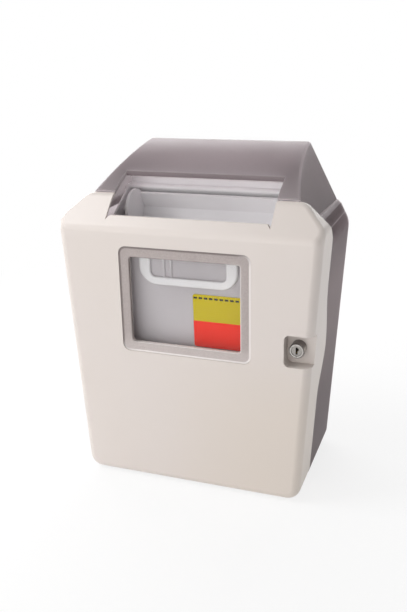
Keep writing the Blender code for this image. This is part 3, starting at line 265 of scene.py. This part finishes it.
class Finish:
    """A surface under construction: each of its nodes comes from one method."""

    def __init__(self, name, constants):
        self.material = bpy.data.materials.new(name)
        self.material.use_nodes = True
        self.tree = self.material.node_tree
        self.shader = self.tree.nodes["Principled BSDF"]
        self.set(self.shader, constants)

    def set(self, node, sockets):
        for key, value in sockets.items():
            if isinstance(value, Wire):
                self.tree.links.new(value.socket, node.inputs[key])
            else:
                node.inputs[key].default_value = value

    def node(self, kind, settings, sockets, output=0):
        made = self.tree.nodes.new(kind)
        for key, value in settings.items():
            setattr(made, key, value)
        self.set(made, sockets)
        return Wire(self, made.outputs[output])

    def maths(self, operation, first, second):
        return self.node("ShaderNodeMath", {"operation": operation}, {0: first, 1: second})

    def place(self):
        """The point on the piece, in metres, which moves with it."""
        return self.node("ShaderNodeTexCoord", {}, {}, output="Object")

    def along(self, axis):
        return self.node("ShaderNodeSeparateXYZ", {}, {0: self.place()}, output=axis)

    def facing(self, axis):
        """Which way the piece's surface faces along an axis, from -1 to 1."""
        way = self.node("ShaderNodeTexCoord", {}, {}, output="Normal")
        return self.node("ShaderNodeSeparateXYZ", {}, {0: way}, output=axis)

    def stretched(self, scale):
        return self.node("ShaderNodeMapping", {}, {"Vector": self.place(), "Scale": scale})

    def noise(self, scale, detail=2.0, roughness=0.5, place=None):
        sockets = {"Vector": place or self.place(), "Scale": scale, "Detail": detail, "Roughness": roughness}
        return self.node("ShaderNodeTexNoise", {}, sockets)

    def cloud(self, scale, spread=0.2):
        """A slow change between 0 and 1 over the piece."""
        return self.ease(self.noise(scale, CLOUD_DETAIL), 0.5 - spread, 0.5 + spread)

    def ease(self, value, low, high):
        """0 at low, 1 at high and smooth between them."""
        settings = {"interpolation_type": "SMOOTHSTEP"}
        return self.node("ShaderNodeMapRange", settings, {"Value": value, "From Min": low, "From Max": high})

    def between(self, value, low, high, soft):
        """1 from low to high and 0 outside them, with soft ends."""
        return self.ease(value, low - soft, low + soft) * self.ease(value, high + soft, high - soft)

    def mix(self, share, first, second):
        sockets = {"Factor": share, 6: colour(first), 7: colour(second)}
        return self.node("ShaderNodeMix", {"data_type": "RGBA"}, sockets, output=2)

    def bump(self, height, distance, strength):
        sockets = {"Height": height, "Distance": distance, "Strength": strength}
        return self.node("ShaderNodeBump", {}, sockets)

    def shade(self, sockets):
        self.set(self.shader, sockets)
        return self.material

    def moulded(self, base, scale, rough):
        """A finely grained moulded skin."""
        grain = self.noise(scale)
        return self.shade({
            "Base Color": base,
            "Roughness": rough + grain * GRAIN_ROUGH,
            "Normal": self.bump(grain, GRAIN_DEPTH, GRAIN_STRENGTH),
        })

    def blend(self, share, second):
        """Show another shader over this surface, by a share."""
        first = Wire(self, self.shader.outputs[0])
        both = self.node("ShaderNodeMixShader", {}, {0: share, 1: first, 2: second})
        self.tree.links.new(both.socket, self.tree.nodes["Material Output"].inputs["Surface"])

    def pass_light(self, share, tint):
        """Let a share of the light through, as a milky or smoked moulding does."""
        self.blend(share, self.node("ShaderNodeBsdfTranslucent", {}, {"Color": colour(tint)}))


def colour(value):
    return value if isinstance(value, Wire) else (*value, 1.0)


def beige_moulding():
    """Satin moulding of the door, warmer low on its right, with faint upright scuffs."""
    finish = Finish("beige_moulding", {"IOR": PLASTIC_IOR})
    warm = finish.ease(finish.along("X"), *WARM_ACROSS) * finish.ease(finish.along("Z"), *WARM_HEIGHT)
    base = finish.mix(warm * 0.8 + finish.cloud(BEIGE_CLOUD, 0.15) * 0.2, BEIGE, BEIGE_WARM)
    grain = finish.noise(BEIGE_GRAIN)
    scuff = finish.ease(finish.noise(SCUFF, 6.0, 0.7, finish.stretched((1.0, 1.0, 0.25))), 0.62, 0.75)
    return finish.shade({
        "Base Color": base,
        "Roughness": 0.36 + grain * 0.10 + scuff * 0.10,
        "Normal": finish.bump(grain, 0.00010, 0.4),
    })


def smoke_moulding():
    """Smoked hood, which lets light in on the tray; its lip is deeper, its ends carry painted shade and its
    ridge, foot and rounded edges a painted highlight.
    """
    finish = Finish("smoke_moulding", {"IOR": PLASTIC_IOR, "Specular IOR Level": HOOD_GLOSS})
    lip = finish.ease(finish.facing("Y"), *LIP_FACING)
    sideways = finish.maths("ABSOLUTE", finish.facing("X"), 0.0)
    turned = finish.between(sideways, *EDGE_FACING)
    ends = finish.ease(sideways, *END_FACING)
    height = finish.along("Z")
    ridge = finish.ease(height, *RIDGE) * (1.0 - ends)
    foot = finish.ease(height, *FOOT) * (1.0 - ends)
    base = finish.mix(finish.cloud(SMOKE_CLOUD) * 0.5, SMOKE, SMOKE_PALE)
    # The hood's ends painted darker: painted shade
    base = finish.mix(ends * 0.9, base, SMOKE_DEEP_AND_SHADE)
    # Ridge, foot and rounded edges painted paler: a painted highlight
    highlight = finish.maths("MAXIMUM", turned * 0.5, ridge * 0.32 + foot * 0.28)
    base = finish.mix(highlight, base, SMOKE_HIGHLIGHT)
    held = lip * LIP_HOLDS + ends * END_HOLDS + (ridge + foot) * PALE_HOLDS
    finish.pass_light(HOOD_PASSES - held, SMOKE_THROUGH)
    return finish.moulded(finish.mix(lip, base, SMOKE_DEEP_AND_SHADE), SMOKE_GRAIN, 0.22)


def smoke_shell():
    """Smoked shell, its middle painted paler as a painted reflection; where it laps over the hood's wall it
    carries painted shade, with a painted highlight line below and on its rim above.
    """
    finish = Finish("smoke_shell", {"IOR": PLASTIC_IOR, "Specular IOR Level": SHELL_GLOSS})
    height = finish.along("Z")
    # Paler middle of the sides: a painted reflection
    middle = finish.ease(height, *REFLECTION_RISE) * finish.ease(height, *REFLECTION_FALL)
    base = finish.mix(middle * 0.7 + finish.cloud(SMOKE_CLOUD) * 0.2, SHELL, SHELL_CLOUD_AND_REFLECTION)
    # Darker band over the lap: painted shade
    base = finish.mix(finish.between(height, LAP_LOW, LAP_HIGH, LAP_LINE), base, SHELL_LAP_SHADE)
    # Thin line below the lap and the rim above it painted paler: painted highlight
    line = finish.between(height, LAP_LOW - LAP_LINE, LAP_LOW, LAP_LINE / 2)
    base = finish.mix(line, base, SMOKE_HIGHLIGHT)
    base = finish.mix(finish.ease(height, LAP_HIGH, LAP_HIGH + LAP_LINE), base, SMOKE_HIGHLIGHT)
    finish.pass_light(SHELL_PASSES + finish.ease(height, *RIM_RISE) * RIM_PASSES, SMOKE_THROUGH)
    return finish.moulded(base, SMOKE_GRAIN, 0.25)


def natural_moulding(name, passes, base, shade, proud=None):
    """Milky moulding, painted paler where it stands proud of a depth: a painted highlight."""
    finish = Finish(name, {"IOR": PLASTIC_IOR})
    base = finish.mix(finish.cloud(MILK_CLOUD), base, shade)
    if proud is not None:
        # The proud rib painted paler: a painted highlight
        rib_highlight = finish.ease(finish.along("Y"), proud, proud - PROUD_SOFT)
        base = finish.mix(rib_highlight, base, MILK_RIB_HIGHLIGHT)
        passes = passes - rib_highlight * BAND_HOLDS
    finish.pass_light(passes, MILK_THROUGH)
    return finish.moulded(base, MILK_GRAIN, 0.30)


def clear_window():
    """Clear in the middle, with a frosted flange whose edge lines carry painted shade on the upper left and
    a painted highlight opposite.
    """
    finish = Finish("clear_window", {"IOR": WINDOW_IOR, "Specular IOR Level": WINDOW_GLOSS})
    low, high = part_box("window_pane")
    middle, half = (low + high) / 2, (high - low) / 2
    across = finish.along("X") - middle.x
    up = finish.along("Z") - middle.z

    def outside(margin, radius):
        """Distance outside a rounded rectangle, which lies inside the pane's outline by a margin."""
        beyond = []
        for place, reach in ((across, half.x), (up, half.z)):
            past = finish.maths("ABSOLUTE", place, 0.0) - (reach - margin - radius)
            beyond.append(finish.maths("POWER", finish.maths("MAXIMUM", past, 0.0), 2.0))
        return finish.maths("SQRT", beyond[0] + beyond[1], 0.0) - radius

    rim = outside(0.0, WINDOW_RADIUS)
    step = outside(FLANGE, STEP_RADIUS)
    clear = finish.ease(step, FLANGE_SOFT, -FLANGE_SOFT)
    # Edge lines of the flange: painted shade on the upper left, painted highlight opposite
    lit = finish.ease(across * (1 / half.x) - up * (1 / half.z), -LIT_TURN, LIT_TURN)
    rim_line = finish.ease(rim, -RIM_LINE, -0.6 * RIM_LINE)
    line = finish.maths("MAXIMUM", rim_line, finish.ease(step, STEP_LINE, 0.0))
    stipple = finish.noise(STIPPLE)
    low_edge = finish.ease(up, 2 * FLANGE - half.z, FLANGE / 2 - half.z)
    frost = finish.mix(finish.ease(stipple, 0.3, 0.7) * 0.4 + low_edge * 0.6, FROST, FROST_PALE)
    return finish.shade({
        "Base Color": finish.mix(line * LINE_SHARE, frost, finish.mix(lit, FROST_SHADE, FROST_HIGHLIGHT)),
        "Alpha": FLANGE_ALPHA - clear * (FLANGE_ALPHA - CLEAR_ALPHA) + line * (1 - clear) * LINE_ALPHA,
        "Roughness": FLANGE_ROUGH - clear * (FLANGE_ROUGH - CLEAR_ROUGH),
        "Normal": finish.bump(stipple * (1 - clear), 0.0002, 0.5),
    })


def label_film():
    """Printed film in two plain colours, with a row of plain dashes along its upper edge."""
    finish = Finish("label_film", {"IOR": PLASTIC_IOR, "Specular IOR Level": FILM_GLOSS})
    low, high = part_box("collector_label")
    split = (low.z + high.z) / 2
    height = finish.along("Z")
    upper = finish.ease(height, split - PRINT_SOFT, split + PRINT_SOFT)
    base = finish.mix(upper, RED, YELLOW)
    run = finish.maths("FRACT", (finish.along("X") - low.x) * (1 / DASH_PITCH), 0.0)
    dash = finish.between(run, (1 - DASH_SHARE) / 2, (1 + DASH_SHARE) / 2, DASH_SOFT)
    top = high.z - DASH_DROP
    row = finish.between(height, top - DASH_HEIGHT, top, PRINT_SOFT)
    grain = finish.noise(FILM_GRAIN)
    return finish.shade({
        "Base Color": finish.mix(dash * row, base, INK),
        "Roughness": 0.40 + grain * 0.1,
        "Normal": finish.bump(grain, 0.00005, 0.4),
    })


def metal(name, base, dull, rough, scale, sides=None):
    """Brushed metal; a colour for its sides, a painted dark reflection, leaves only its front and its
    right-hand shine as they are.
    """
    finish = Finish(name, {"Metallic": 1.0})
    brush = finish.noise(scale, 3.0)
    shade = finish.mix(finish.ease(brush, *BRUSH_SHADE), base, dull)
    # Faces other than the front and the right-hand shine take a painted dark reflection
    if sides:
        glint = finish.ease(finish.facing("X"), *GLINT_FACING)
        away = finish.ease(finish.facing("Y"), *FRONT_FACING)
        shade = finish.mix(away * (1.0 - glint), shade, sides)
    return finish.shade({
        "Base Color": shade,
        "Roughness": rough + brush * 0.12,
        "Normal": finish.bump(brush, 0.00004, 0.3),
    })


FINISHES = {
    "beige_moulding": beige_moulding(),
    "smoke_moulding": smoke_moulding(),
    "natural_moulding": natural_moulding("natural_moulding", MILK_PASSES, MILK, MILK_SHADE, GRIP_PROUD),
    "clear_window": clear_window(),
    "label_film": label_film(),
    "plated_lock": metal("plated_lock", CHROME, CHROME_DULL, 0.10, 420.0, CHROME_DARK_REFLECTION),
    "plain_steel": metal("plain_steel", STEEL, CHROME_DULL, 0.28, 700.0),
    "brass_wafer": metal("brass_wafer", BRASS, BRASS_DULL, 0.30, 700.0),
}
# The lid and tray take a lighter copy of the milky moulding, the same plastic painted whiter: painted light
LIT_MILK_MOULDING = natural_moulding("lit_milk_moulding", LID_PASSES, MILK_LIT, MILK_LIT_PALE)
OWN_FINISHES = {
    "back_shell": smoke_shell(),
    "collector_lid": LIT_MILK_MOULDING,
    "drop_tray": LIT_MILK_MOULDING,
    "lock_plug": metal("plug_face", PLUG_FACE, CHROME_DULL, 0.22, 420.0, CHROME_DARK_REFLECTION),
}
METALS = ("plated_lock", "plain_steel", "brass_wafer")


def fold_start():
    return FOLD_HEIGHT - FOLD_ROUND * math.tan(FOLD_TURN / 2)


def door_face(height):
    """How far back the door's rounded front lies at a height, and which way it faces there."""
    rise = (height - fold_start()) / FOLD_ROUND
    turn = math.asin(min(max(rise, 0.0), math.sin(FOLD_TURN)))
    past = max(rise - math.sin(FOLD_TURN), 0.0)
    behind = FOLD_ROUND * (1 - math.cos(turn) + past * math.tan(FOLD_TURN))
    return DOOR_FRONT + behind, Vector((0.0, -math.cos(turn), math.sin(turn)))


def door_outline():
    """Points of the door's right-hand outline, from mid-foot to its top, with their outward directions."""
    foot, top = (0.0, DOOR_FOOT[1], 0.0), (HORN_INSIDE, DOOR_TOP[1], 0.0)
    corners = [foot, DOOR_FOOT, DOOR_SHOULDER, DOOR_TOP, top]
    path = [(Vector(corners[0][:2]), Vector((0.0, -1.0)))]
    for before, corner, after in zip(corners, corners[1:], corners[2:]):
        here = Vector(corner[:2])
        come = (here - Vector(before[:2])).normalized()
        leave = (Vector(after[:2]) - here).normalized()
        turn = come.angle(leave)
        out = Vector((come.y, -come.x))
        centre = here - come * corner[2] * math.tan(turn / 2) - out * corner[2]
        if corner is DOOR_SHOULDER:
            leans = [FOLD_TURN * step / FOLD_STEPS for step in range(FOLD_STEPS)]
            heights = [fold_start() + FOLD_ROUND * math.sin(lean) for lean in leans]
            path += [(here + come * (height - here.y) / come.y, out) for height in heights]
        for step in range(CORNER_STEPS + 1):
            ray = Matrix.Rotation(turn * step / CORNER_STEPS, 2) @ out
            path.append((centre + ray * corner[2], ray))
    path.append((Vector(corners[-1][:2]), Vector((0.0, 1.0))))
    return path


def edge_section(point, out):
    """What is cut away at one place of the door's front edge, outside an arc from its face to its wall."""
    back, face = door_face(point.y)
    edge = Vector((point.x, back, point.y))
    wall = Vector((out.x, 0.0, out.y))
    fade = min(max((point.y - FADE_FROM) / (DOOR_TOP[1] - FADE_FROM), 0.0), 1.0)
    radius = EDGE_ROUND + (TOP_ROUND - EDGE_ROUND) * fade
    both = (face + wall) / (1 + face.dot(wall))
    centre = edge - both * radius
    arc = [centre + face.slerp(wall, step / ROUND_STEPS) * radius for step in range(ROUND_STEPS + 1)]
    first = arc[0] + (face * face.dot(wall) - wall).normalized() * CUT_REACH
    last = arc[-1] + (wall * face.dot(wall) - face).normalized() * CUT_REACH
    ring = [first + face * CUT_OUT, first, *arc, last, last + wall * CUT_OUT, edge + both * CUT_OUT]
    return [corner + both * CUT_CLEAR for corner in ring]


def fold_section(across):
    """What is cut away at the door's fold, in front of an arc from its flat front to its slope."""
    slope = Vector((0.0, -math.cos(FOLD_TURN), math.sin(FOLD_TURN)))
    front = Vector((0.0, -1.0, 0.0))
    centre = Vector((across, DOOR_FRONT + FOLD_ROUND, fold_start()))
    arc = [centre + front.slerp(slope, step / ROUND_STEPS) * FOLD_ROUND for step in range(ROUND_STEPS + 1)]
    first = arc[0] + Vector((0.0, 0.0, -CUT_REACH))
    last = arc[-1] + Vector((0.0, -slope.z, -slope.y)) * -CUT_REACH
    ring = [first + front * CUT_OUT, first, *arc, last, last + slope * CUT_OUT]
    return [corner + (front + slope) * CUT_CLEAR for corner in ring]


def cutter(name, rings, body):
    """A closed, hidden solid through a row of rings, which rides on a body."""
    size = len(rings[0])
    points = [point for ring in rings for point in ring]
    faces = [tuple(range(size)), tuple(range(len(points) - size, len(points)))]
    for row in range(len(rings) - 1):
        for step in range(size):
            here, beside = row * size + step, row * size + (step + 1) % size
            faces.append((here, beside, beside + size, here + size))
    mesh = bpy.data.meshes.new(name)
    mesh.from_pydata(points, [], faces)
    work = bmesh.new()
    work.from_mesh(mesh)
    bmesh.ops.recalc_face_normals(work, faces=work.faces)
    work.to_mesh(mesh)
    work.free()
    mesh.shade_smooth()
    tool = bpy.data.objects.new(name, mesh)
    bpy.context.scene.collection.objects.link(tool)
    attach(tool, body)
    tool.hide_render = True
    tool.hide_viewport = True
    return tool


def door_cutters():
    right = door_outline()
    left = [(Vector((-point.x, point.y)), Vector((-out.x, out.y))) for point, out in reversed(right[1:])]
    edge = [edge_section(point, out) for point, out in left + right]
    fold = [fold_section(-DOOR_WIDE), fold_section(DOOR_WIDE)]
    return [cutter("fold_round", fold, "door"), cutter("edge_round", edge, "door")]


CUTTERS = {"door": door_cutters()}


def dress(node, slot):
    """Give a CAD node its finish, and round its edges a little without touching its mesh."""
    item = frame["nodes"][node]
    item.data.materials.clear()
    item.data.materials.append(OWN_FINISHES.get(node, FINISHES[slot]))
    weld = item.modifiers.new("weld", "WELD")
    weld.merge_threshold = WELD
    for tool in CUTTERS.get(node, ()):
        rounding = item.modifiers.new(tool.name, "BOOLEAN")
        rounding.operation = "DIFFERENCE"
        rounding.solver = "EXACT"
        rounding.object = tool
        slivers = item.modifiers.new("slivers", "WELD")
        slivers.merge_threshold = SLIVER
    flat = item.modifiers.new("flat", "DECIMATE")
    flat.decimate_type = "DISSOLVE"
    flat.angle_limit = FLAT_WITHIN
    edge = item.modifiers.new("edge", "BEVEL")
    edge.limit_method = "ANGLE"
    edge.angle_limit = SHARP_EDGE
    edge.width = METAL_EDGE if slot in METALS else MOULDED_EDGE
    edge.segments = EDGE_STEPS
    item.data.shade_smooth()
    even = item.modifiers.new("even", "WEIGHTED_NORMAL")
    even.mode = "FACE_AREA"
    even.weight = FLAT_WEIGHT


for part in frame["record"]["subparts"]:
    dress(part["node"], part["material_slot"])


def make_camera():
    data = bpy.data.cameras.new("camera")
    data.lens = CAMERA_LENS
    data.sensor_width = SENSOR
    camera = bpy.data.objects.new("camera", data)
    bpy.context.scene.collection.objects.link(camera)
    level = math.cos(CAMERA_ELEVATION)
    back = Vector((
        math.sin(CAMERA_AZIMUTH) * level,
        -math.cos(CAMERA_AZIMUTH) * level,
        math.sin(CAMERA_ELEVATION),
    ))
    right = (-back).cross(Vector((0, 0, 1))).normalized()
    up = right.cross(-back)
    side = right * math.cos(CAMERA_ROLL) + up * math.sin(CAMERA_ROLL)
    top = up * math.cos(CAMERA_ROLL) - right * math.sin(CAMERA_ROLL)
    turn = Matrix((side, top, back)).transposed()
    camera.matrix_world = Matrix.Translation(CAMERA_PLACE) @ turn.to_4x4()
    bpy.context.scene.camera = camera


def seen_directly(finish):
    """1 for what the camera sees, directly, mirrored or through glass, and 0 for light on the object."""
    rays = finish.tree.nodes.new("ShaderNodeLightPath")
    kinds = [Wire(finish, rays.outputs[f"Is {kind} Ray"]) for kind in ("Camera", "Glossy", "Transmission")]
    return finish.maths("MAXIMUM", finish.maths("MAXIMUM", kinds[0], kinds[1]), kinds[2])


def make_floor():
    mesh = bpy.data.meshes.new("floor")
    size = FLOOR_HALF
    corners = [(-size, -size, 0), (size, -size, 0), (size, size, 0), (-size, size, 0)]
    mesh.from_pydata(corners, [], [(0, 1, 2, 3)])
    floor = bpy.data.objects.new("floor", mesh)
    floor.location.z = -FLOOR_DROP
    bpy.context.scene.collection.objects.link(floor)
    finish = Finish("floor_paper", {"Base Color": (*FLOOR_WHITE, 1.0), "Roughness": 0.9})
    reach = finish.node("ShaderNodeVectorMath", {"operation": "LENGTH"}, {0: finish.place()}, output="Value")
    fade = FLOOR_GLOW + (1 - FLOOR_GLOW) * finish.ease(reach, FLOOR_NEAR, FLOOR_FAR)
    glow = finish.node("ShaderNodeEmission", {}, {"Color": (1, 1, 1, 1), "Strength": 1.0})
    finish.blend(seen_directly(finish) * fade, glow)
    mesh.materials.append(finish.material)


class Sky(Finish):
    """The world's background, made of the same nodes as a surface."""

    def __init__(self, name):
        self.world = bpy.data.worlds.new(name)
        self.world.use_nodes = True
        self.tree = self.world.node_tree


def make_world():
    sky = Sky("studio")
    bpy.context.scene.world = sky.world
    level = AMBIENT + (1 - AMBIENT) * seen_directly(sky)
    sky.set(sky.tree.nodes["Background"], {"Color": (1, 1, 1, 1), "Strength": level})


def make_lamp(name, place, width, height, power):
    data = bpy.data.lights.new(name, "AREA")
    data.shape = "RECTANGLE"
    data.size = width
    data.size_y = height
    data.energy = power
    lamp = bpy.data.objects.new(name, data)
    lamp.location = place
    lamp.rotation_mode = "QUATERNION"
    lamp.rotation_quaternion = (Vector(LIT_POINT) - Vector(place)).to_track_quat("-Z", "Y")
    lamp.visible_camera = False
    bpy.context.scene.collection.objects.link(lamp)


make_camera()
make_floor()
make_world()
for lamp in LAMPS:
    make_lamp(*lamp)
bpy.context.scene.view_settings.view_transform = "Standard"
